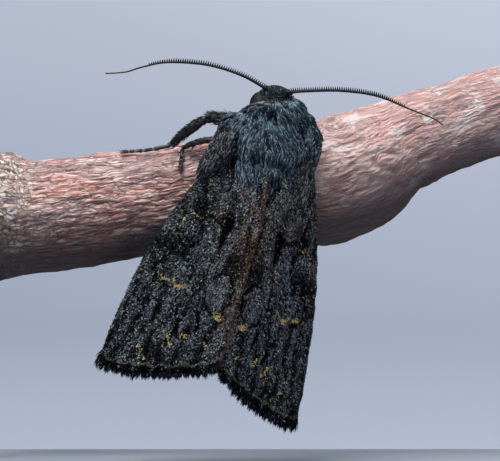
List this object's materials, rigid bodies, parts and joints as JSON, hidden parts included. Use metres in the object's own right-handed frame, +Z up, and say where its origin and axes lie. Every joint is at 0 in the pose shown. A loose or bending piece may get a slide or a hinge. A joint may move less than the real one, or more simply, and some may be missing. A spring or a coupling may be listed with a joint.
{
  "type": "black rustic moth model",
  "caption": "Still, life-size model of a black rustic moth at rest, gripping a short cut length of branch that a plain display stand holds.",
  "frame": {"origin": "middle of the stand base's underside, which is also the bottom centre of the whole model", "axes": "+Z up, +X to the right in the picture and along the branch, +Y away from the viewer, into the picture"},
  "size_m": [0.05, 0.03, 0.0321],
  "materials": {
    "wing_scales": "matt charcoal-black scales with yellow flecks",
    "hindwing": "matt, pale greyish white with darker veins",
    "body_hair": "blue-black hair with grey-blue tips",
    "eye": "glossy dark brown",
    "antenna": "satin black",
    "leg": "blackish scales with pale rings on the feet",
    "bark": "rough pinkish-brown bark with grey streaks",
    "stand_base": "matt off-white",
    "stand_rod": "satin steel"
  },
  "bodies": {
    "root": {"forewing_left": "wing_scales", "forewing_right": "wing_scales", "hindwing_left": "hindwing", "hindwing_right": "hindwing", "thorax": "body_hair", "collar": "body_hair", "tegula_left": "body_hair", "tegula_right": "body_hair", "abdomen": "body_hair", "head": "body_hair", "palp_left": "body_hair", "palp_right": "body_hair", "eye_left": "eye", "eye_right": "eye", "antenna_left_root": "antenna", "antenna_left_middle": "antenna", "antenna_left_tip": "antenna", "antenna_right_root": "antenna", "antenna_right_middle": "antenna", "antenna_right_tip": "antenna", "leg_fore_left_femur": "leg", "leg_fore_left_tibia": "leg", "leg_fore_left_tarsus": "leg", "leg_fore_right_femur": "leg", "leg_fore_right_tibia": "leg", "leg_fore_right_tarsus": "leg", "leg_mid_left_femur": "leg", "leg_mid_left_tibia": "leg", "leg_mid_left_tarsus": "leg", "leg_mid_right_femur": "leg", "leg_mid_right_tibia": "leg", "leg_mid_right_tarsus": "leg", "leg_hind_left_femur": "leg", "leg_hind_left_tibia": "leg", "leg_hind_left_tarsus": "leg", "leg_hind_right_femur": "leg", "leg_hind_right_tibia": "leg", "leg_hind_right_tarsus": "leg", "branch": "bark", "stand_base": "stand_base", "stand_rod_left": "stand_rod", "stand_rod_right": "stand_rod"}
  },
  "joints": []
}
